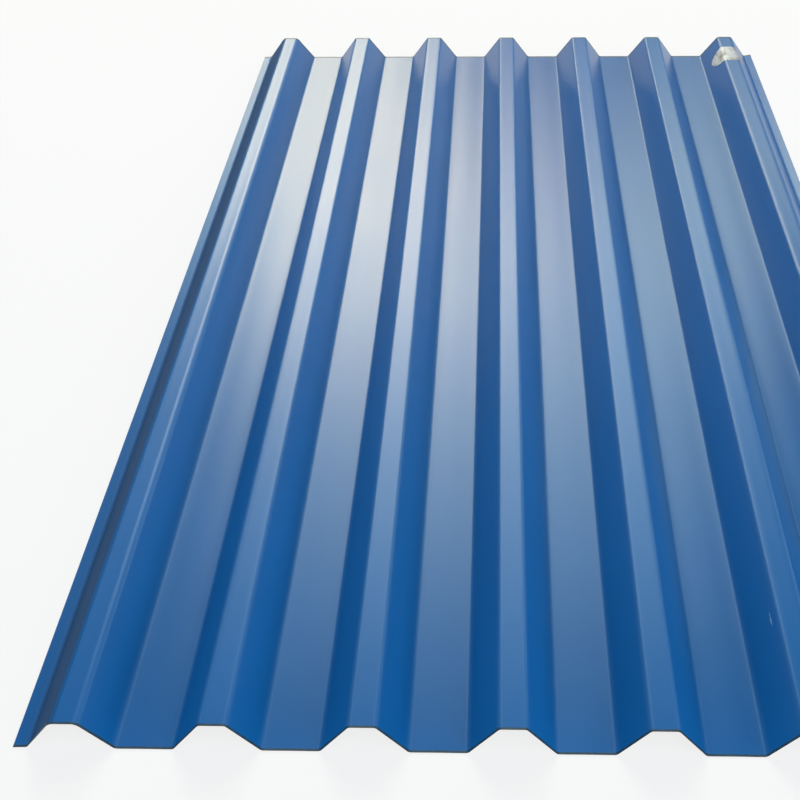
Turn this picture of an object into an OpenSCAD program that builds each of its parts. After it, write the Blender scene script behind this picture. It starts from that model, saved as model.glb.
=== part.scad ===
/* [Sheet] */
// Length of the sheet along its ribs
sheet_length = 1400; // [600:50:3000]
// Thickness of the coated steel
sheet_t = 0.5; // [0.4:0.05:1]

/* [Ribs] */
// Number of ribs across the sheet
rib_count = 7; // [3:1:9]
// Distance from the middle of one rib to the middle of the next
rib_pitch = 125; // [110:1:150]
// Overall depth, from the underside of the pans to the top of the crests
profile_depth = 35; // [25:1:45]
// Width of a crest between its bend lines
crest_w = 23; // [20:1:32]
// Width of a pan between its bend lines
pan_w = 50; // [40:1:60]

/* [Edges] */
// Width of the narrow lip outside each edge rib
lip_w = 12; // [10:0.5:20]
// Height of the left lip's free edge above the pans
left_lip_rise = 0; // [0:0.5:3]
// Height of the right lip's free edge above the pans
right_lip_rise = 2; // [0:0.5:3]
// Height of the first rib's outer foot above the pans
left_foot_lift = 0.5; // [0:0.1:1.5]

/* [Bends] */
// Inside radius of the rolled bends
bend_r = 3; // [1:0.5:4]
// Inside radius of the crest bends on the first rib
first_crest_r = 8; // [3:0.5:14]
// Inside radius of the crest bends on the last rib
last_crest_r = 5; // [3:0.5:14]
// Number of flats that make up one bend
bend_flats = 6; // [2:1:10]

/* [Colour] */
// Colour of the top coat
coat_colour = "#0A62A8"; // [#0A62A8:Blue, #7B2B27:Oxide red, #39624A:Moss green, #C9CCCB:Pale grey]

/* [Hidden] */

half_t = sheet_t / 2;
web_run = (rib_pitch - crest_w - pan_w) / 2;
rib_foot_w = crest_w + 2 * web_run;
mid_low = half_t;
mid_high = profile_depth - half_t;
last_rib = rib_count - 1;

// Middle of rib number i, with the whole row centred on the sheet
function rib_x(i) = (i - last_rib / 2) * rib_pitch;

// The crest bends of the first and last rib are rounder than the others
function crest_r(i) = i == 0 ? first_crest_r : i == last_rib ? last_crest_r : bend_r;

// The first rib's outer foot stands a little higher than the pans
function left_foot_z(i) = mid_low + (i == 0 ? left_foot_lift : 0);

// The four bend lines of rib i on the middle of the wall, each as [x, z, inside radius]
function rib_corners(i) = [
    [rib_x(i) - rib_foot_w / 2, left_foot_z(i), bend_r],
    [rib_x(i) - crest_w / 2, mid_high, crest_r(i)],
    [rib_x(i) + crest_w / 2, mid_high, crest_r(i)],
    [rib_x(i) + rib_foot_w / 2, mid_low, bend_r]
];

// Free edge of the lip on the left (side -1) or the right (side 1), with its height above the pans
function lip_edge(side, rise) = [side * (rib_x(last_rib) + rib_foot_w / 2 + lip_w), mid_low + rise, 0];

// Every corner of the section in order from the left free edge to the right one
corners = [
    lip_edge(-1, left_lip_rise),
    for (i = [0 : last_rib]) each rib_corners(i),
    lip_edge(1, right_lip_rise)
];

function flat_point(p) = [p[0], p[1]];
function unit(v) = v / norm(v);
function left_normal(d) = [-d[1], d[0]];
function heading(a, b) = unit(flat_point(b) - flat_point(a));
function side_sign(a, b) = sign(a[0] * b[1] - a[1] * b[0]);

// Direction d turned by an angle, anticlockwise when the angle is positive
function turned(d, angle) = [
    d[0] * cos(angle) - d[1] * sin(angle),
    d[0] * sin(angle) + d[1] * cos(angle)
];

// One face of a bend: the wall's middle line follows an arc, and the face lies offset from it
function bend_points(before, corner, after, offset) =
    let (
        d_in = heading(before, corner),
        d_out = heading(corner, after),
        turn = side_sign(d_in, d_out),
        angle = acos(d_in * d_out),
        mid_r = corner[2] + half_t,
        tangent_length = mid_r * tan(angle / 2),
        start = flat_point(corner) - d_in * tangent_length,
        centre = start + left_normal(d_in) * turn * mid_r,
        face_r = mid_r - turn * offset
    )
    [
        for (k = [0 : bend_flats])
            centre - turned(left_normal(d_in), turn * angle * k / bend_flats) * turn * face_r
    ];

// One face of the whole section, offset to the left of the middle line as it runs to the right
function face_points(offset) =
    let (
        last = len(corners) - 1,
        d_first = heading(corners[0], corners[1]),
        d_last = heading(corners[last - 1], corners[last])
    )
    [
        flat_point(corners[0]) + left_normal(d_first) * offset,
        for (i = [1 : last - 1]) each bend_points(corners[i - 1], corners[i], corners[i + 1], offset),
        flat_point(corners[last]) + left_normal(d_last) * offset
    ];

function reversed(points) = [for (i = [len(points) - 1 : -1 : 0]) points[i]];

// The rolled section: a strip of one thickness, folded into ribs, pans and lips
module rolled_section() {
    polygon(concat(face_points(half_t), reversed(face_points(-half_t))));
}

// The whole sheet, lying on its pans with the ribs along Y
module corrugated_sheet() {
    color(coat_colour)
        translate([0, sheet_length / 2, 0])
            rotate([90, 0, 0])
                linear_extrude(height = sheet_length)
                    rolled_section();
}

corrugated_sheet();
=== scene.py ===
"""Looks of a roll-formed roofing sheet: the coated steel shell, its blank foil label and a plain studio."""

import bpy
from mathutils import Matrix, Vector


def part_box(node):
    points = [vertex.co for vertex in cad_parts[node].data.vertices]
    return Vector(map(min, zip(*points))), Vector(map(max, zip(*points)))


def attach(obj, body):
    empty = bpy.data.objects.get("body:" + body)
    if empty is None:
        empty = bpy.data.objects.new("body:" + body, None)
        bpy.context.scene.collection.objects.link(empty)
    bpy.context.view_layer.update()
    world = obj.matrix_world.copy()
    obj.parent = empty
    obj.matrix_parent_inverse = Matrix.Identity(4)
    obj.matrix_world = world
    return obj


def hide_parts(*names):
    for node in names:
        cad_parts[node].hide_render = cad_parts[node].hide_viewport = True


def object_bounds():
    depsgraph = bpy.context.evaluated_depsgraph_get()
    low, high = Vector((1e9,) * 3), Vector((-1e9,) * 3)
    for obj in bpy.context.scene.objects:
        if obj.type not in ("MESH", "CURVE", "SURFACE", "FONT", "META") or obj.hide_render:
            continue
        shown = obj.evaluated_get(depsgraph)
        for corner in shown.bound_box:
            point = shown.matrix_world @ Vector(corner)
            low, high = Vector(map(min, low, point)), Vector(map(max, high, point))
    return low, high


bl_info = {
    "name": "Corrugated Sheet Looks",
    "version": (1, 0, 0),
    "blender": (4, 5, 0),
    "location": "View3D > Sidebar > Sheet",
    "description": "Models and finishes a coated trapezoidal steel sheet on a plain studio floor",
    "category": "Object",
}

import math

import bmesh
import bpy
from mathutils import Matrix, Vector, noise

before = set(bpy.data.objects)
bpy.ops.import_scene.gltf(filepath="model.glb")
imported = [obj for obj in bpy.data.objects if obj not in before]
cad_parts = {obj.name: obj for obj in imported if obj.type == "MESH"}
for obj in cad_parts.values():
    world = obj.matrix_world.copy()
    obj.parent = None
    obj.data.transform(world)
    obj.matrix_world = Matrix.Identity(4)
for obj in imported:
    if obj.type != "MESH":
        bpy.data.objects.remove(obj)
CAD_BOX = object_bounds()

MM = 0.001
SHEET_NODE = "corrugated_sheet"


def srgb_to_linear(hex_colour):
    """Turns a hex colour as seen on a screen into the linear values that Blender works with."""
    digits = hex_colour.lstrip("#")
    channels = [int(digits[i : i + 2], 16) / 255 for i in (0, 2, 4)]
    return tuple(c / 12.92 if c <= 0.04045 else ((c + 0.055) / 1.055) ** 2.4 for c in channels)


def length(name, description, default_mm):
    """A length property whose default is given in millimetres."""
    return bpy.props.FloatProperty(
        name=name, description=description, default=default_mm * MM, unit="LENGTH"
    )


def colour(name, description, hex_default):
    """A colour property whose default is given as a hex colour."""
    return bpy.props.FloatVectorProperty(
        name=name,
        description=description,
        default=srgb_to_linear(hex_default),
        subtype="COLOR",
        size=3,
        min=0.0,
        max=1.0,
    )


class SheetSizes(bpy.types.PropertyGroup):
    """The rolled section. Overall length, width and depth come from the frame."""

    rib_count: bpy.props.IntProperty(
        name="Ribs", description="Number of ribs across the sheet", default=7, min=3
    )
    thickness: length("Thickness", "Thickness of the coated steel", 0.5)
    crest_width: length("Crest width", "Width of a crest between its bend lines", 23)
    pan_width: length("Pan width", "Width of a pan between its bend lines", 50)
    lip_width: length("Lip width", "Width of the lip outside each edge rib", 12)
    left_lip_rise: length("Left lip rise", "Height of the left lip's free edge above the pans", 0)
    right_lip_rise: length("Right lip rise", "Height of the right lip's free edge above the pans", 2)
    left_foot_lift: length("Left foot lift", "Height of the first rib's outer foot above the pans", 0.5)
    bend_radius: length("Bend radius", "Inside radius of the rolled bends", 3)
    first_crest_radius: length("First crest radius", "Inside radius of the first rib's crest bends", 8)
    last_crest_radius: length("Last crest radius", "Inside radius of the last rib's crest bends", 5)


class SheetRelief(bpy.types.PropertyGroup):
    """How far the thin steel stands off its nominal planes."""

    pan_crown: length("Pan crown", "Least rise of a pan's middle", 0.12)
    crest_dish: length("Crest dish", "Least sinking of a crest's middle", 0.05)
    lead_in: length("Lead-in", "How far a strip leaves its plane on its way into a bend", 0.25)
    ripple: length("Ripple", "Height of the slow waves along a pan or a crest", 0.12)
    ripple_length: length("Ripple length", "Distance from one slow wave to the next", 330)
    # Widths of the strips of painted shade along the near and the far sheared ends
    near_shade_line: length("Cut line", "Width of the scuffed line along the near sheared end", 2)
    far_shade_line: length("Far cut line", "Width of the scuffed line along the far sheared end", 4)


class LabelSizes(bpy.types.PropertyGroup):
    """The blank oval label that is folded over the last rib."""

    across: length("Across", "Width of the oval, laid flat across the rib", 70)
    along: length("Along", "Length of the oval along the rib", 54)
    from_end: length("From the end", "Distance from the sheet's far end to the oval's middle", 68)
    off_crest: length("Off the crest", "How far the oval's middle lies left of the crest's middle", 2.5)
    film: length("Film", "Thickness of the film", 0.025)
    lift: length("Lift", "Gap between the coat and the film", 0.01)
    crinkle: length("Crinkle", "Height of the film's wrinkles on the webs", 0.5)
    crinkle_size: length("Crinkle size", "Distance from one wrinkle to the next", 14)


class SheetColours(bpy.types.PropertyGroup):
    """Colours of the sheet's finishes."""

    top_coat: colour("Top coat", "Blue polyester coat on the weather face", "#0A62A8")
    backing: colour("Backing coat", "Grey coat on the underside", "#B9BCBA")
    # Painted shade: the dark colour laid on the first rib's outer web
    painted_shade: colour("Grime", "Dull film of grime on the first rib's outer web", "#2B3844")
    foil: colour("Foil", "Silvery film of the blank label", "#DDD6D1")
    floor: colour("Floor", "Paint of the studio floor", "#F8EEEB")


def add_node(tree, kind, inputs=None, **settings):
    """Adds a node, sets its options, and sets or links its inputs by name or number.

    A colour is given as three linear values."""
    node = tree.nodes.new(kind)
    for key, value in settings.items():
        setattr(node, key, value)
    for key, value in (inputs or {}).items():
        if isinstance(value, bpy.types.NodeSocket):
            tree.links.new(value, node.inputs[key])
        elif node.inputs[key].type == "RGBA":
            node.inputs[key].default_value = (*value, 1.0)
        else:
            node.inputs[key].default_value = value
    return node


def new_material(name):
    """An empty node material; returns the material and its tree."""
    material = bpy.data.materials.new(name)
    material.use_nodes = True
    material.node_tree.nodes.clear()
    return material, material.node_tree


# Stretch of a noise's values over which a pattern runs from its one tone to the other
NOISE_MIDDLE = {"From Min": 0.3, "From Max": 0.7}
# The Mix node's sockets: two colours and their mixture, and two plain values and theirs
COLOUR_A = 6
COLOUR_B = 7
MIXED_COLOUR = 2
VALUE_A = 2
VALUE_B = 3
MIXED_VALUE = 0


def stretched_noise(tree, coords, size_mm, detail=2.0, roughness=0.5):
    """Noise whose cells measure size_mm along X, Y and Z."""
    scale = [1 / (s * MM) for s in size_mm]
    place = add_node(tree, "ShaderNodeMapping", {"Vector": coords, "Scale": scale}).outputs["Vector"]
    grain = {"Vector": place, "Scale": 1.0, "Detail": detail, "Roughness": roughness}
    return add_node(tree, "ShaderNodeTexNoise", grain).outputs["Fac"]


def distance_from(tree, value, place):
    """How far a value lies from a place on either side."""
    off = add_node(tree, "ShaderNodeMath", {0: value, 1: place}, operation="SUBTRACT").outputs[0]
    return add_node(tree, "ShaderNodeMath", {0: off}, operation="ABSOLUTE").outputs[0]


# Half the width over which the sides of the painted shade on the first rib's outer web fade
SHADED_WEB_FADE = 3 * MM
# How far from its line a bend's mask reaches; it is whole up to half of this
BEND_BAND = 3 * MM
# The scratch, and how far apart its breaks lie
SCRATCH_MIDDLE = (232.9 * MM, -575.5 * MM)
SCRATCH_HALF_SIZE = (0.6 * MM, 9 * MM)
SCRATCH_BREAKS_MM = (2, 4, 2)


def shaded_web_mask(tree, x, section):
    """1 on the first rib's outer web, where shade is painted, and 0 elsewhere, with soft sides."""
    half_web = (section.foot_width / 2 - section.half_crest) / 2
    middle = section.ribs[0] - section.half_crest - half_web + SHADED_WEB_FADE / 2
    off = distance_from(tree, x, middle)
    fade = {"From Min": half_web - SHADED_WEB_FADE, "From Max": half_web + SHADED_WEB_FADE}
    return add_node(
        tree, "ShaderNodeMapRange", {"Value": off, **fade, "To Min": 1.0, "To Max": 0.0}
    ).outputs["Result"]


def bend_mask(tree, x, section):
    """1 along every bend and 0 on the flat strips between them."""
    first_rib = section.ribs[0]
    from_first = add_node(tree, "ShaderNodeMath", {0: x, 1: first_rib}, operation="SUBTRACT").outputs[0]
    from_rib = add_node(
        tree, "ShaderNodeMath", {0: from_first, 1: section.pitch / 2}, operation="PINGPONG"
    ).outputs[0]
    from_crest_bend = distance_from(tree, from_rib, section.half_crest)
    from_foot_bend = distance_from(tree, from_rib, section.foot_width / 2)
    nearest = add_node(
        tree, "ShaderNodeMath", {0: from_crest_bend, 1: from_foot_bend}, operation="MINIMUM"
    ).outputs[0]
    fade = {"From Min": BEND_BAND / 2, "From Max": BEND_BAND}
    return add_node(
        tree, "ShaderNodeMapRange", {"Value": nearest, **fade, "To Min": 1.0, "To Max": 0.0}
    ).outputs["Result"]


def scratch_mask(tree, coords):
    """1 on a short broken scratch that runs along the sixth rib's left web, and 0 elsewhere."""
    location = [-m / s for m, s in zip(SCRATCH_MIDDLE, SCRATCH_HALF_SIZE)]
    scale = [1 / s for s in SCRATCH_HALF_SIZE]
    place = add_node(
        tree, "ShaderNodeMapping", {"Vector": coords, "Location": (*location, 0), "Scale": (*scale, 0)}
    ).outputs["Vector"]
    reach = add_node(tree, "ShaderNodeVectorMath", {0: place}, operation="LENGTH").outputs["Value"]
    oval = add_node(
        tree, "ShaderNodeMapRange", {"Value": reach, "From Min": 0.5, "To Min": 1.0, "To Max": 0.0}
    ).outputs["Result"]
    grain = stretched_noise(tree, coords, SCRATCH_BREAKS_MM)
    breaks = add_node(
        tree, "ShaderNodeMapRange", {"Value": grain, "From Min": 0.35, "From Max": 0.5, "To Min": 0.3}
    ).outputs["Result"]
    return add_node(tree, "ShaderNodeMath", {0: oval, 1: breaks}, operation="MULTIPLY").outputs[0]


# Roughness of the coat in its clouds, what a streak takes or adds, on a bend, and under the painted shade
CLOUD_ROUGHNESS = {"To Min": 0.282, "To Max": 0.306}
STREAK_ROUGHNESS = {"To Min": -0.006, "To Max": 0.006}
BEND_ROUGHNESS = 0.38
SHADED_WEB_ROUGHNESS = 0.55
# Specular level of the bare coat and under the painted shade on the first rib's outer web
COAT_GLOSS = 0.5
SHADED_WEB_GLOSS = 0.05
# How far a bend's painted highlight, the web's painted shade and the scratch take the coat's colour to their
# own
BEND_HIGHLIGHT_COVER = 0.05
SHADED_WEB_COVER = 0.6
SCRATCH_COVER = 0.6


def polyester_coil_coat(colours, section):
    """Stoved polyester over primer on zinc-coated steel: an even satin blue whose sheen goes pale at a low
    angle, with the faint peel of a rolled-on film and long streaks from the forming rolls. The film is
    stretched over the bends, where it is duller and a little paler, that paleness being a painted highlight.
    Handling has left one scratch. The first rib's outer web carries painted shade: darker, with little
    sheen."""
    material, tree = new_material("polyester_coil_coat")
    coords = add_node(tree, "ShaderNodeTexCoord").outputs["Object"]
    x = add_node(tree, "ShaderNodeSeparateXYZ", {0: coords}).outputs["X"]
    clouds = stretched_noise(tree, coords, (90, 180, 90), detail=3)
    streaks = stretched_noise(tree, coords, (9, 600, 9), detail=1)
    peel = stretched_noise(tree, coords, (1.8, 1.8, 1.8), detail=1)
    bends = bend_mask(tree, x, section)
    # Where shade is painted: the first rib's outer web
    painted_shade = shaded_web_mask(tree, x, section)
    scratch = scratch_mask(tree, coords)

    cloud_share = add_node(tree, "ShaderNodeMapRange", {"Value": clouds, **NOISE_MIDDLE}).outputs["Result"]
    deeper = [c * 0.95 for c in colours.top_coat]
    paler = [c * 1.02 + 0.001 for c in colours.top_coat]
    film = add_node(
        tree, "ShaderNodeMix", {"Factor": cloud_share, COLOUR_A: deeper, COLOUR_B: paler}, data_type="RGBA"
    ).outputs[MIXED_COLOUR]
    # Pale blue of the painted highlight along the bends
    bend_highlight_tint = srgb_to_linear("#8FB2D8")
    scraped_coat = srgb_to_linear("#A9C2DA")
    # A painted highlight on the bends and painted shade on the first rib's outer web; the scratch is real
    # wear
    for mask, cover, tone in (
        (bends, BEND_HIGHLIGHT_COVER, bend_highlight_tint),
        (painted_shade, SHADED_WEB_COVER, colours.painted_shade),
        (scratch, SCRATCH_COVER, scraped_coat),
    ):
        share = add_node(tree, "ShaderNodeMath", {0: mask, 1: cover}, operation="MULTIPLY").outputs[0]
        film = add_node(
            tree, "ShaderNodeMix", {"Factor": share, COLOUR_A: film, COLOUR_B: tone}, data_type="RGBA"
        ).outputs[MIXED_COLOUR]

    cloud_finish = {"Value": clouds, **NOISE_MIDDLE, **CLOUD_ROUGHNESS}
    streak_finish = {"Value": streaks, **NOISE_MIDDLE, **STREAK_ROUGHNESS}
    in_clouds = add_node(tree, "ShaderNodeMapRange", cloud_finish).outputs["Result"]
    in_streaks = add_node(tree, "ShaderNodeMapRange", streak_finish).outputs["Result"]
    rough = add_node(tree, "ShaderNodeMath", {0: in_clouds, 1: in_streaks}, operation="ADD").outputs[0]
    for mask, roughness in ((bends, BEND_ROUGHNESS), (painted_shade, SHADED_WEB_ROUGHNESS)):
        rough = add_node(
            tree, "ShaderNodeMix", {"Factor": mask, VALUE_A: rough, VALUE_B: roughness}, data_type="FLOAT"
        ).outputs[MIXED_VALUE]
    # Under the painted shade most of the coat's sheen is taken off
    gloss = add_node(
        tree, "ShaderNodeMapRange", {"Value": painted_shade, "To Min": COAT_GLOSS, "To Max": SHADED_WEB_GLOSS}
    ).outputs["Result"]
    relief = add_node(
        tree, "ShaderNodeBump", {"Height": peel, "Strength": 0.12, "Distance": 0.02 * MM}
    ).outputs["Normal"]
    finish = {"Base Color": film, "Roughness": rough, "IOR": 1.4, "Specular IOR Level": gloss}
    shader = add_node(tree, "ShaderNodeBsdfPrincipled", {**finish, "Normal": relief})
    add_node(tree, "ShaderNodeOutputMaterial", {"Surface": shader.outputs["BSDF"]})
    return material


def backing_coat(back_colour):
    """Thin epoxy backing coat: matt pale grey, a little uneven, with long faint streaks."""
    material, tree = new_material("epoxy_backing_coat")
    coords = add_node(tree, "ShaderNodeTexCoord").outputs["Object"]
    streaks = stretched_noise(tree, coords, (7, 500, 7), detail=3)
    share = add_node(tree, "ShaderNodeMapRange", {"Value": streaks, **NOISE_MIDDLE}).outputs["Result"]
    darker = [c * 0.88 for c in back_colour]
    film = add_node(
        tree, "ShaderNodeMix", {"Factor": share, COLOUR_A: darker, COLOUR_B: back_colour}, data_type="RGBA"
    ).outputs[MIXED_COLOUR]
    rough = add_node(
        tree, "ShaderNodeMapRange", {"Value": streaks, **NOISE_MIDDLE, "To Min": 0.48, "To Max": 0.58}
    ).outputs["Result"]
    shader = add_node(
        tree, "ShaderNodeBsdfPrincipled", {"Base Color": film, "Roughness": rough, "IOR": 1.5}
    )
    add_node(tree, "ShaderNodeOutputMaterial", {"Surface": shader.outputs["BSDF"]})
    return material


def sheared_steel():
    """Sheared zinc-coated steel: dull metal, a little brown where the zinc is broken, and darkened as
    painted shade.
    """
    material, tree = new_material("sheared_steel_edge")
    coords = add_node(tree, "ShaderNodeTexCoord").outputs["Object"]
    grain = stretched_noise(tree, coords, (3, 3, 0.3), detail=3)
    # A very dark steel: painted shade along the cut
    steel = srgb_to_linear("#262C36")
    brown = srgb_to_linear("#3A2E29")
    broken = add_node(
        tree, "ShaderNodeMapRange", {"Value": grain, "From Min": 0.5, "From Max": 0.8}
    ).outputs["Result"]
    edge = add_node(
        tree, "ShaderNodeMix", {"Factor": broken, COLOUR_A: steel, COLOUR_B: brown}, data_type="RGBA"
    ).outputs[MIXED_COLOUR]
    shader = add_node(
        tree, "ShaderNodeBsdfPrincipled", {"Base Color": edge, "Metallic": 0.7, "Roughness": 0.5}
    )
    add_node(tree, "ShaderNodeOutputMaterial", {"Surface": shader.outputs["BSDF"]})
    return material


def shaded_cut_line():
    """The last few millimetres of the coat beside a sheared end, in painted shade: a dark, mottled, dull
    blue.
    """
    material, tree = new_material("painted_shade_at_cut")
    coords = add_node(tree, "ShaderNodeTexCoord").outputs["Object"]
    mottle = stretched_noise(tree, coords, (4, 4, 4), detail=3)
    # Dark blues of the painted shade beside a cut
    coat = srgb_to_linear("#1D4A63")
    painted_shade = srgb_to_linear("#1A2A3C")
    mottled = add_node(tree, "ShaderNodeMapRange", {"Value": mottle, **NOISE_MIDDLE}).outputs["Result"]
    tone = add_node(
        tree, "ShaderNodeMix", {"Factor": mottled, COLOUR_A: coat, COLOUR_B: painted_shade}, data_type="RGBA"
    ).outputs[MIXED_COLOUR]
    shader = add_node(tree, "ShaderNodeBsdfPrincipled", {"Base Color": tone, "Roughness": 0.5})
    add_node(tree, "ShaderNodeOutputMaterial", {"Surface": shader.outputs["BSDF"]})
    return material


# How far right of the crest's middle the label's painted violet shade is whole; it starts half as far left
# of it
RIGHT_WEB_SHADE_FADE = 14 * MM
# Stretch of a noise's values over which the label's patches of haze and stain set in
PATCH_STRETCH = {"From Min": 0.46, "From Max": 0.6}
# Shares of violet in the painted shade on the right web and in the patches of haze, and of brown in the
# stains
RIGHT_WEB_SHADE = 0.8
VIOLET_PATCHES = 0.4
BROWN_STAINS = 0.75


def aluminised_film(film_colour, crest_x):
    """Aluminised polyester label film: a silvery satin sheet with grey-brown stains and fine crinkles, which
    turns violet-grey in patches, and down the rib's right web as painted shade."""
    material, tree = new_material("aluminised_polyester_film")
    coords = add_node(tree, "ShaderNodeTexCoord").outputs["Object"]
    stain = stretched_noise(tree, coords, (11, 20, 11), detail=3, roughness=0.6)
    haze = stretched_noise(tree, coords, (22, 30, 22), detail=1)
    crease = stretched_noise(tree, coords, (2.5, 6, 2.5), detail=2)
    across = add_node(tree, "ShaderNodeSeparateXYZ", {0: coords}).outputs["X"]

    fade = {"From Min": crest_x - RIGHT_WEB_SHADE_FADE / 2, "From Max": crest_x + RIGHT_WEB_SHADE_FADE}
    # Painted shade: the label turns violet-grey down the rib's right web
    right_web_shade = add_node(
        tree, "ShaderNodeMapRange", {"Value": across, **fade, "To Max": RIGHT_WEB_SHADE}
    ).outputs["Result"]
    patches = add_node(
        tree, "ShaderNodeMapRange", {"Value": haze, **PATCH_STRETCH, "To Max": VIOLET_PATCHES}
    ).outputs["Result"]
    violet = add_node(tree, "ShaderNodeMath", {0: right_web_shade, 1: patches}, operation="ADD").outputs[0]
    brown = add_node(
        tree, "ShaderNodeMapRange", {"Value": stain, **PATCH_STRETCH, "To Max": BROWN_STAINS}
    ).outputs["Result"]
    violet_shade_and_haze = srgb_to_linear("#A49DB2")
    brown_stain = srgb_to_linear("#9C8A7C")
    tone = film_colour
    for share, tint in ((violet, violet_shade_and_haze), (brown, brown_stain)):
        tone = add_node(
            tree, "ShaderNodeMix", {"Factor": share, COLOUR_A: tone, COLOUR_B: tint}, data_type="RGBA"
        ).outputs[MIXED_COLOUR]

    rough = add_node(
        tree, "ShaderNodeMapRange", {"Value": stain, **NOISE_MIDDLE, "To Min": 0.5, "To Max": 0.62}
    ).outputs["Result"]
    relief = add_node(
        tree, "ShaderNodeBump", {"Height": crease, "Strength": 0.6, "Distance": 0.25 * MM}
    ).outputs["Normal"]
    finish = {"Base Color": tone, "Metallic": 0.1, "Roughness": rough, "Normal": relief}
    shader = add_node(tree, "ShaderNodeBsdfPrincipled", finish)
    add_node(tree, "ShaderNodeOutputMaterial", {"Surface": shader.outputs["BSDF"]})
    return material


def seen_directly(tree):
    """1 for what the camera, a reflection or a clear surface sees, and 0 for light that falls on things."""
    path = add_node(tree, "ShaderNodeLightPath")
    seen = path.outputs["Is Camera Ray"]
    for kind in ("Is Glossy Ray", "Is Transmission Ray"):
        either = {0: seen, 1: path.outputs[kind]}
        seen = add_node(tree, "ShaderNodeMath", either, operation="MAXIMUM").outputs[0]
    return seen


def studio_floor(floor_colour, white_share):
    """Matt off-white studio floor. It is seen partly as plain white; the rest keeps the sheet's shadow."""
    material, tree = new_material("matt_floor_paint")
    paint = add_node(
        tree,
        "ShaderNodeBsdfPrincipled",
        {"Base Color": floor_colour, "Roughness": 0.9, "Specular IOR Level": 0.0},
    )
    white = add_node(tree, "ShaderNodeEmission", {"Color": (1.0, 1.0, 1.0), "Strength": 1.0})
    share = add_node(
        tree, "ShaderNodeMath", {0: seen_directly(tree), 1: white_share}, operation="MULTIPLY"
    ).outputs[0]
    mix = add_node(
        tree, "ShaderNodeMixShader", {0: share, 1: paint.outputs["BSDF"], 2: white.outputs["Emission"]}
    )
    add_node(tree, "ShaderNodeOutputMaterial", {"Surface": mix.outputs["Shader"]})
    return material


def face_upwards(bm):
    """Turns the faces of an open surface one way, with the coated side up."""
    bmesh.ops.recalc_face_normals(bm, faces=bm.faces[:])
    bm.normal_update()
    if sum(f.normal.z for f in bm.faces) < 0:
        bmesh.ops.reverse_faces(bm, faces=bm.faces[:])
        bm.normal_update()


def put_in_scene(name, bm, materials):
    """Makes an object of a finished shape, at the origin, with its materials in order."""
    mesh = bpy.data.meshes.new(name)
    bm.to_mesh(mesh)
    bm.free()
    for material in materials:
        mesh.materials.append(material)
    piece = bpy.data.objects.new(name, mesh)
    bpy.context.scene.collection.objects.link(piece)
    return piece


class Section:
    """The rolled section on the middle of the wall, worked out from the sizes and the frame's box."""

    def __init__(self, sizes):
        low, high = (Vector(c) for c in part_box(SHEET_NODE))
        self.y_start, self.y_end = low.y, high.y
        half_wall = sizes.thickness / 2
        self.foot_z = low.z + half_wall
        self.crest_z = high.z - half_wall
        self.left_foot_z = self.foot_z + sizes.left_foot_lift
        self.lip_ends_z = (self.foot_z + sizes.left_lip_rise, self.foot_z + sizes.right_lip_rise)
        left_fall = math.atan2(abs(sizes.left_lip_rise - sizes.left_foot_lift), sizes.lip_width)
        right_fall = math.atan2(sizes.right_lip_rise, sizes.lip_width)
        left_edge = low.x + half_wall * math.sin(left_fall)
        right_edge = high.x - half_wall * math.sin(right_fall)
        ribs_and_pans = right_edge - left_edge - 2 * sizes.lip_width
        self.pitch = (ribs_and_pans + sizes.pan_width) / sizes.rib_count
        self.foot_width = self.pitch - sizes.pan_width
        self.half_crest = sizes.crest_width / 2
        self.lip_width = sizes.lip_width
        web_run = self.foot_width / 2 - self.half_crest
        self.web_angle = math.atan2(self.crest_z - self.foot_z, web_run)
        first = left_edge + sizes.lip_width + self.foot_width / 2
        self.ribs = [first + i * self.pitch for i in range(sizes.rib_count)]
        self.wall = sizes.thickness
        self.bend_radius = sizes.bend_radius + half_wall
        self.first_crest_radius = sizes.first_crest_radius + half_wall
        self.last_crest_radius = sizes.last_crest_radius + half_wall

    def corners(self):
        """Every corner from the left free edge to the right one, as (x, z, radius)."""
        half_foot = self.foot_width / 2
        points = [(self.ribs[0] - half_foot - self.lip_width, self.lip_ends_z[0], 0)]
        edge_ribs = {0: self.first_crest_radius, len(self.ribs) - 1: self.last_crest_radius}
        for i, x in enumerate(self.ribs):
            crest_radius = edge_ribs.get(i, self.bend_radius)
            points += [
                (x - half_foot, self.foot_z if i else self.left_foot_z, self.bend_radius),
                (x - self.half_crest, self.crest_z, crest_radius),
                (x + self.half_crest, self.crest_z, crest_radius),
                (x + half_foot, self.foot_z, self.bend_radius),
            ]
        points.append((self.ribs[-1] + half_foot + self.lip_width, self.lip_ends_z[1], 0))
        return points

    def tangents(self):
        """How far each bend reaches from its corner along the flat strips, by the corner's x."""
        corners = self.corners()
        reach = {}
        for before, corner, after in zip(corners, corners[1:], corners[2:]):
            way_in = Vector(corner[:2]) - Vector(before[:2])
            way_out = Vector(after[:2]) - Vector(corner[:2])
            reach[corner[0]] = corner[2] * math.tan(way_in.angle(way_out) / 2)
        return reach

    def on_last_rib(self, along):
        """The coated face of the last rib, so far along the wall from the crest's middle: x, z and lean."""
        bend_radius = self.last_crest_radius
        face_radius = bend_radius + self.wall / 2
        flat = self.half_crest - bend_radius * math.tan(self.web_angle / 2)
        past_flat = max(abs(along) - flat, 0)
        lean = min(past_flat / face_radius, self.web_angle)
        down_web = max(past_flat - face_radius * self.web_angle, 0)
        off = min(abs(along), flat) + face_radius * math.sin(lean) + down_web * math.cos(lean)
        z = self.crest_z - bend_radius + face_radius * math.cos(lean) - down_web * math.sin(lean)
        return self.ribs[-1] + math.copysign(off, along), z, lean


# Facets of a bend, and cuts across and along the strips between the bends
BEND_SEGMENTS = 10
STRIP_CUTS = 11
LENGTH_CUTS = 55
# A strip is wider than the widest facet of a bend by at least this factor
STRIP_FACTOR = 1.2
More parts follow.
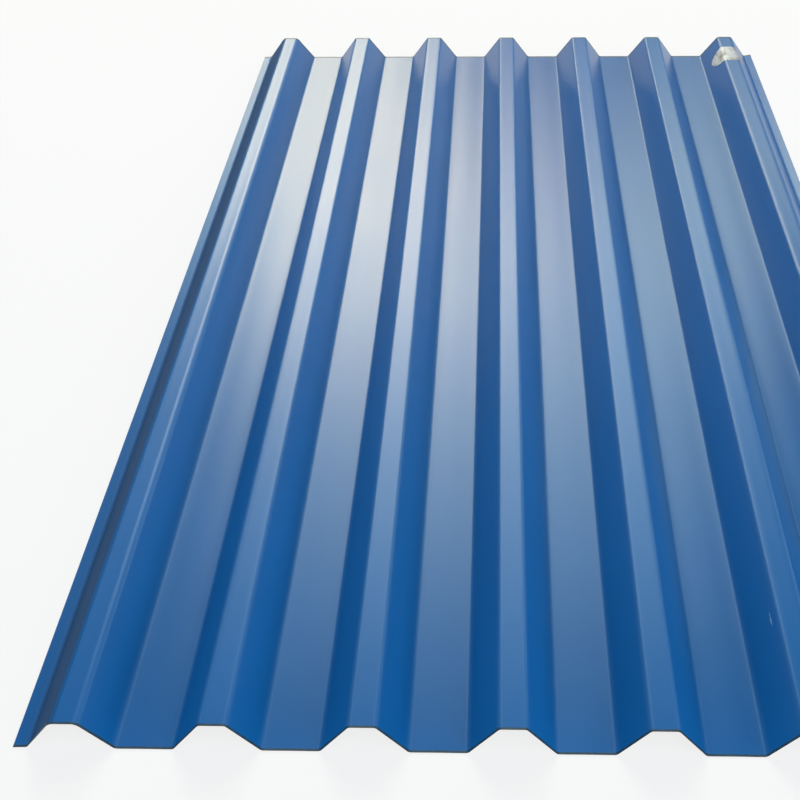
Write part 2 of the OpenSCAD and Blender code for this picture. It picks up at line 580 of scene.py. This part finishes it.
# The higher the power, the nearer to its bend a strip starts to curve
CREST_LEAD_POWER = 4
PAN_LEAD_POWER = 10
# Places of the sheet's finishes in its list of materials
TOP_COAT = 0
BACKING_COAT = 1
SHEARED_EDGE = 2
# The strips of painted shade along the two cut ends
SHADED_CUT_LINE = 3


def runs_along_y(edge):
    """True for an edge that lies along the sheet's length."""
    span = edge.verts[1].co - edge.verts[0].co
    return abs(span.y) > abs(span.x) + abs(span.z)


def folded_strip(section):
    """The wall's middle surface: a folded strip swept along Y, with every bend rounded."""
    bm = bmesh.new()
    corners = section.corners()
    verts = [bm.verts.new((x, section.y_end, z)) for x, z, _ in corners]
    edges = [bm.edges.new(pair) for pair in zip(verts, verts[1:])]
    swept = bmesh.ops.extrude_edge_only(bm, edges=edges)["geom"]
    far = [g for g in swept if isinstance(g, bmesh.types.BMVert)]
    bmesh.ops.translate(bm, verts=far, vec=(0, section.y_start - section.y_end, 0))
    reach = section.tangents()
    bends = {}
    for edge in bm.edges:
        if not runs_along_y(edge) or len(edge.link_faces) != 2:
            continue
        x = edge.verts[0].co.x
        tangent = reach[min(reach, key=lambda corner_x: abs(corner_x - x))]
        bends.setdefault(round(tangent, 9), []).append(edge)
    for tangent, group in bends.items():
        bmesh.ops.bevel(
            bm,
            geom=group,
            offset=tangent,
            offset_type="OFFSET",
            segments=BEND_SEGMENTS,
            profile=0.5,
            affect="EDGES",
            material=-1,
        )
    face_upwards(bm)
    return bm


def divide_strips(bm, section, relief):
    """Cuts the flat strips across and along, so that they can bow, and marks off a strip for painted shade
    along each end.
    """
    for y in (section.y_start + relief.near_shade_line, section.y_end - relief.far_shade_line):
        geom = bm.verts[:] + bm.edges[:] + bm.faces[:]
        bmesh.ops.bisect_plane(bm, geom=geom, plane_co=(0, y, 0), plane_no=(0, 1, 0))
    widest_facet = section.first_crest_radius * section.web_angle / BEND_SEGMENTS
    narrowest_strip = STRIP_FACTOR * widest_facet
    across = [e for e in bm.edges if not runs_along_y(e) and e.calc_length() > narrowest_strip]
    bmesh.ops.subdivide_edges(bm, edges=across, cuts=STRIP_CUTS, use_grid_fill=True)
    along = [e for e in bm.edges if runs_along_y(e) and e.calc_length() > 2 * relief.far_shade_line]
    bmesh.ops.subdivide_edges(bm, edges=along, cuts=LENGTH_CUTS, use_grid_fill=True)


def stand_off(section, relief, x, y):
    """How far the wall stands off its nominal plane at a place, as thin rolled steel does.

    Each strip curves gently on its way into a bend: a crest falls towards its edges and a pan rises. Between
    them the crests sink and the pans crown in slow waves, so the sheet stays within its full depth."""
    rib = min(section.ribs, key=lambda middle: abs(x - middle))
    off = abs(x - rib)
    half_foot = section.foot_width / 2
    half_pan = (section.pitch - section.foot_width) / 2
    place = Vector((x / section.pitch, y / relief.ripple_length, 0.5))
    wave = relief.ripple * (0.5 + 0.5 * noise.noise(place))
    if off < section.half_crest:
        across = off / section.half_crest
        lead_in = relief.lead_in * across**CREST_LEAD_POWER
        return -lead_in - (relief.crest_dish + wave) * (1 - across**2) ** 2
    if off < half_foot:
        down_web = (off - section.half_crest) / (half_foot - section.half_crest)
        return relief.lead_in * (2 * down_web - 1)
    if abs(x) > section.ribs[-1]:
        return relief.lead_in
    across = (section.pitch / 2 - off) / half_pan
    lead_in = relief.lead_in * across**PAN_LEAD_POWER
    return lead_in + (relief.pan_crown + wave) * (1 - across**2) ** 2


def bow_strips(bm, section, relief):
    """Gives the flat strips the slight bow and the slow waves of thin rolled steel."""
    for vert in bm.verts:
        vert.co.z += stand_off(section, relief, vert.co.x, vert.co.y)


def give_wall(bm, section, relief):
    """Turns the middle surface into a closed wall, and gives each face its finish."""
    bm.normal_update()
    shifts = [(v, v.normal * v.calc_shell_factor() * section.wall / 2) for v in bm.verts]
    for vert, shift in shifts:
        vert.co += shift
    top = set(bm.faces)
    for face in top:
        y = face.calc_center_median().y
        # The strips along both ends carry painted shade
        at_cut = y < section.y_start + relief.near_shade_line or y > section.y_end - relief.far_shade_line
        face.material_index = SHADED_CUT_LINE if at_cut else TOP_COAT
    bmesh.ops.solidify(bm, geom=bm.faces[:], thickness=section.wall)
    bm.normal_update()
    for face in bm.faces:
        face.smooth = True
        if face in top:
            continue
        touches_top = any(f in top for e in face.edges for f in e.link_faces)
        face.material_index = SHEARED_EDGE if touches_top else BACKING_COAT
        face.smooth = not touches_top
    for edge in bm.edges:
        edge.smooth = SHEARED_EDGE not in {f.material_index for f in edge.link_faces}


class SHEET_OT_coated_sheet(bpy.types.Operator):
    """Models the coated steel sheet in place of its plain solid"""

    bl_idname = "sheet.coated_sheet"
    bl_label = "Coated sheet"

    def execute(self, context):
        scene = context.scene
        section = Section(scene.sheet_sizes)
        bm = folded_strip(section)
        divide_strips(bm, section, scene.sheet_relief)
        bow_strips(bm, section, scene.sheet_relief)
        give_wall(bm, section, scene.sheet_relief)
        colours = scene.sheet_colours
        finishes = {
            TOP_COAT: polyester_coil_coat(colours, section),
            BACKING_COAT: backing_coat(colours.backing),
            SHEARED_EDGE: sheared_steel(),
            SHADED_CUT_LINE: shaded_cut_line(),
        }
        piece = put_in_scene("coated_sheet", bm, [finishes[place] for place in sorted(finishes)])
        weighted = piece.modifiers.new("flat_strips_stay_flat", "WEIGHTED_NORMAL")
        weighted.keep_sharp = True
        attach(piece, "root")
        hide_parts(SHEET_NODE)
        return {"FINISHED"}


# Corners of the label's outline, and size of the cells that it is cut into
OVAL_CORNERS = 72
OVAL_GRID = 1.0 * MM


def flat_oval(sizes):
    """A flat oval, cut into small cells so that it can follow a rib; its middle is at the origin."""
    bm = bmesh.new()
    bmesh.ops.create_circle(bm, cap_ends=True, segments=OVAL_CORNERS, radius=0.5)
    bmesh.ops.scale(bm, verts=bm.verts, vec=(sizes.across, sizes.along, 1))
    for axis, size in (((1, 0, 0), sizes.across), ((0, 1, 0), sizes.along)):
        for k in range(1, int(size / OVAL_GRID)):
            place = Vector(axis) * (k * OVAL_GRID - size / 2)
            geom = bm.verts[:] + bm.edges[:] + bm.faces[:]
            bmesh.ops.bisect_plane(bm, geom=geom, plane_co=place, plane_no=axis)
    return bm


def fold_over_rib(bm, section, relief, sizes):
    """Lays the flat oval on the coated face of the last rib, a little crinkled where it lies on the webs."""
    middle_y = section.y_end - sizes.from_end
    gap = sizes.lift + sizes.film / 2
    for vert in bm.verts:
        along_wall = vert.co.x - sizes.off_crest
        y = vert.co.y + middle_y
        x, z, lean = section.on_last_rib(along_wall)
        wrinkle = 0.5 + 0.5 * noise.noise(Vector((along_wall, y, 0)) / sizes.crinkle_size)
        off = gap + sizes.crinkle * math.sin(lean) ** 2 * wrinkle
        z += stand_off(section, relief, x, y)
        side = math.copysign(1, along_wall)
        vert.co = (x + side * off * math.sin(lean), y, z + off * math.cos(lean))


class SHEET_OT_foil_label(bpy.types.Operator):
    """Models the blank label that is folded over the last rib near the far end"""

    bl_idname = "sheet.foil_label"
    bl_label = "Foil label"

    def execute(self, context):
        scene = context.scene
        section = Section(scene.sheet_sizes)
        bm = flat_oval(scene.label_sizes)
        fold_over_rib(bm, section, scene.sheet_relief, scene.label_sizes)
        face_upwards(bm)
        half_film = scene.label_sizes.film / 2
        for vert, normal in [(v, v.normal.copy()) for v in bm.verts]:
            vert.co += normal * half_film
        bmesh.ops.solidify(bm, geom=bm.faces[:], thickness=scene.label_sizes.film)
        for face in bm.faces:
            face.smooth = True
        film = aluminised_film(scene.sheet_colours.foil, section.ribs[-1])
        piece = put_in_scene("foil_label", bm, [film])
        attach(piece, "root")
        return {"FINISHED"}


CAMERA_PLACE = Vector((-16.2, -1268.7, 864)) * MM
CAMERA_YAW = math.radians(1.98)
CAMERA_PITCH = math.radians(39.93)
CAMERA_ROLL = math.radians(-0.98)
# Lens and sensor in millimetres; the shift is a share of the sensor's width
CAMERA_LENS = 53
CAMERA_SHIFT = -0.08
SENSOR_WIDTH = 36
# Side of the floor and distance of the lamps, in metres
FLOOR_SIZE = 80
LAMP_DISTANCE = 6
# Room between the floor and the sheet's underside, so that they don't flicker
FLOOR_GAP = 0.3 * MM
# How much of the floor is seen as plain white; the rest is paint that takes the light and the shadow
FLOOR_WHITE_SHARE = 0.8
# Strength of the walls at the horizon and overhead, as they are seen and as they light things
WALLS_SEEN = (0.75, 0.06)
WALLS_LIGHT = (0.42, 0.084)
# Elevations between which they go from the one to the other
WALL_FADE = (math.radians(2), math.radians(20))
WALL_TINT = "#F1F4F6"
SKY_TINT = "#DDF2FF"
# Name, azimuth right of +Y and elevation of the middle, width and height in degrees, radiance, tint
SOFTBOXES = (
    ("front_middle", -1, 42, 29, 23, 5.3, "#DEFEFF"),
    ("front_left", -6, 33, 20, 12, 8.2, "#FFE5CB"),
    ("front_low_left", -11, 25, 13, 17, 8.2, "#FFF7CB"),
    ("front_right", 15, 30, 11, 15, 3.7, "#FDFFD3"),
    ("side_right", 44, 23, 16, 11, 5.6, "#ECFFCB"),
    ("front_high", 0, 57, 40, 12, 0.9, "#CBFFFF"),
    ("left_high", -36, 46, 24, 22, 1, "#CBE7FF"),
    ("left_low", -21, 27, 9, 13, 2.9, "#CBFFFF"),
    ("back_left", -135, 40, 30, 30, 1.8, SKY_TINT),
    ("back_right", 135, 40, 30, 30, 2.8, SKY_TINT),
    ("back_low_right", 120, 15, 60, 10, 5.1, SKY_TINT),
    ("back_low_left", -120, 15, 60, 10, 1.6, SKY_TINT),
)


def look_rotation(yaw, pitch, roll):
    """Turns a camera that looks along +Y: left by yaw, down by pitch, then about its own axis by roll."""
    left = Matrix.Rotation(yaw, 3, "Z")
    down = Matrix.Rotation(-pitch, 3, "X")
    level = Matrix.Rotation(math.pi / 2, 3, "X")
    return left @ down @ level @ Matrix.Rotation(roll, 3, "Z")


def soft_lamp(name, azimuth, elevation, width, height, radiance, tint):
    """A softbox seen from the sheet in the direction given; sizes are in degrees."""
    a, e = math.radians(azimuth), math.radians(elevation)
    towards = Vector((math.sin(a) * math.cos(e), math.cos(a) * math.cos(e), math.sin(e)))
    data = bpy.data.lights.new(name, "AREA")
    data.shape = "RECTANGLE"
    data.size = 2 * LAMP_DISTANCE * math.tan(math.radians(width) / 2)
    data.size_y = 2 * LAMP_DISTANCE * math.tan(math.radians(height) / 2)
    data.energy = radiance * math.pi * data.size * data.size_y
    data.color = srgb_to_linear(tint)
    lamp = bpy.data.objects.new(name, data)
    lamp.location = towards * LAMP_DISTANCE
    lamp.rotation_euler = towards.to_track_quat("Z", "Y").to_euler()
    lamp.visible_camera = False
    bpy.context.scene.collection.objects.link(lamp)


def studio_walls():
    """Plain pale walls that darken upwards from the horizon, where they light things less than they show."""
    world = bpy.data.worlds.new("studio_walls")
    bpy.context.scene.world = world
    world.use_nodes = True
    tree = world.node_tree
    tree.nodes.clear()
    direction = add_node(tree, "ShaderNodeTexCoord").outputs["Generated"]
    height = add_node(tree, "ShaderNodeSeparateXYZ", {0: direction}).outputs["Z"]
    fade = {"From Min": math.sin(WALL_FADE[0]), "From Max": math.sin(WALL_FADE[1])}
    seen = seen_directly(tree)
    light, shown = (
        add_node(
            tree, "ShaderNodeMapRange", {"Value": height, **fade, "To Min": horizon, "To Max": overhead}
        ).outputs["Result"]
        for horizon, overhead in (WALLS_LIGHT, WALLS_SEEN)
    )
    strength = add_node(
        tree, "ShaderNodeMapRange", {"Value": seen, "To Min": light, "To Max": shown}
    ).outputs["Result"]
    tints = {COLOUR_A: srgb_to_linear(SKY_TINT), COLOUR_B: srgb_to_linear(WALL_TINT)}
    tint = add_node(
        tree, "ShaderNodeMix", {"Factor": seen, **tints}, data_type="RGBA"
    ).outputs[MIXED_COLOUR]
    walls = add_node(tree, "ShaderNodeBackground", {"Color": tint, "Strength": strength})
    add_node(tree, "ShaderNodeOutputWorld", {"Surface": walls.outputs["Background"]})


class SHEET_OT_studio(bpy.types.Operator):
    """Sets the floor, the walls, the soft lamps and the camera"""

    bl_idname = "sheet.studio"
    bl_label = "Studio"

    def execute(self, context):
        scene = context.scene
        bm = bmesh.new()
        bmesh.ops.create_grid(bm, x_segments=1, y_segments=1, size=FLOOR_SIZE / 2)
        bmesh.ops.translate(bm, verts=bm.verts, vec=(0, 0, CAD_BOX[0].z - FLOOR_GAP))
        paint = studio_floor(scene.sheet_colours.floor, FLOOR_WHITE_SHARE)
        floor = put_in_scene("studio_floor", bm, [paint])
        studio_walls()
        for box in SOFTBOXES:
            soft_lamp(*box)
        data = bpy.data.cameras.new("photo_camera")
        data.sensor_width = SENSOR_WIDTH
        data.lens = CAMERA_LENS
        data.shift_x = CAMERA_SHIFT
        camera = bpy.data.objects.new("photo_camera", data)
        turn = look_rotation(CAMERA_YAW, CAMERA_PITCH, CAMERA_ROLL)
        camera.matrix_world = Matrix.Translation(CAMERA_PLACE) @ turn.to_4x4()
        scene.collection.objects.link(camera)
        scene.camera = camera
        scene.view_settings.view_transform = "Standard"
        return {"FINISHED"}


class SHEET_PT_looks(bpy.types.Panel):
    """Lists what can be built, with its sizes and colours"""

    bl_idname = "SHEET_PT_looks"
    bl_label = "Corrugated sheet"
    bl_space_type = "VIEW_3D"
    bl_region_type = "UI"
    bl_category = "Sheet"

    def draw(self, context):
        scene = context.scene
        for name in GROUPS:
            group = getattr(scene, name)
            for key in group.__annotations__:
                self.layout.prop(group, key)
        for operator in OPERATORS:
            self.layout.operator(operator.bl_idname)


GROUPS = {
    "sheet_sizes": SheetSizes,
    "sheet_relief": SheetRelief,
    "label_sizes": LabelSizes,
    "sheet_colours": SheetColours,
}
OPERATORS = (SHEET_OT_coated_sheet, SHEET_OT_foil_label, SHEET_OT_studio)
CLASSES = (*GROUPS.values(), *OPERATORS, SHEET_PT_looks)


def register():
    for cls in CLASSES:
        bpy.utils.register_class(cls)
    for name, group in GROUPS.items():
        setattr(bpy.types.Scene, name, bpy.props.PointerProperty(type=group))


def unregister():
    for name in GROUPS:
        delattr(bpy.types.Scene, name)
    for cls in reversed(CLASSES):
        bpy.utils.unregister_class(cls)


def main():
    register()
    bpy.ops.sheet.coated_sheet()
    bpy.ops.sheet.foil_label()
    bpy.ops.sheet.studio()


if __name__ == "__main__":
    main()
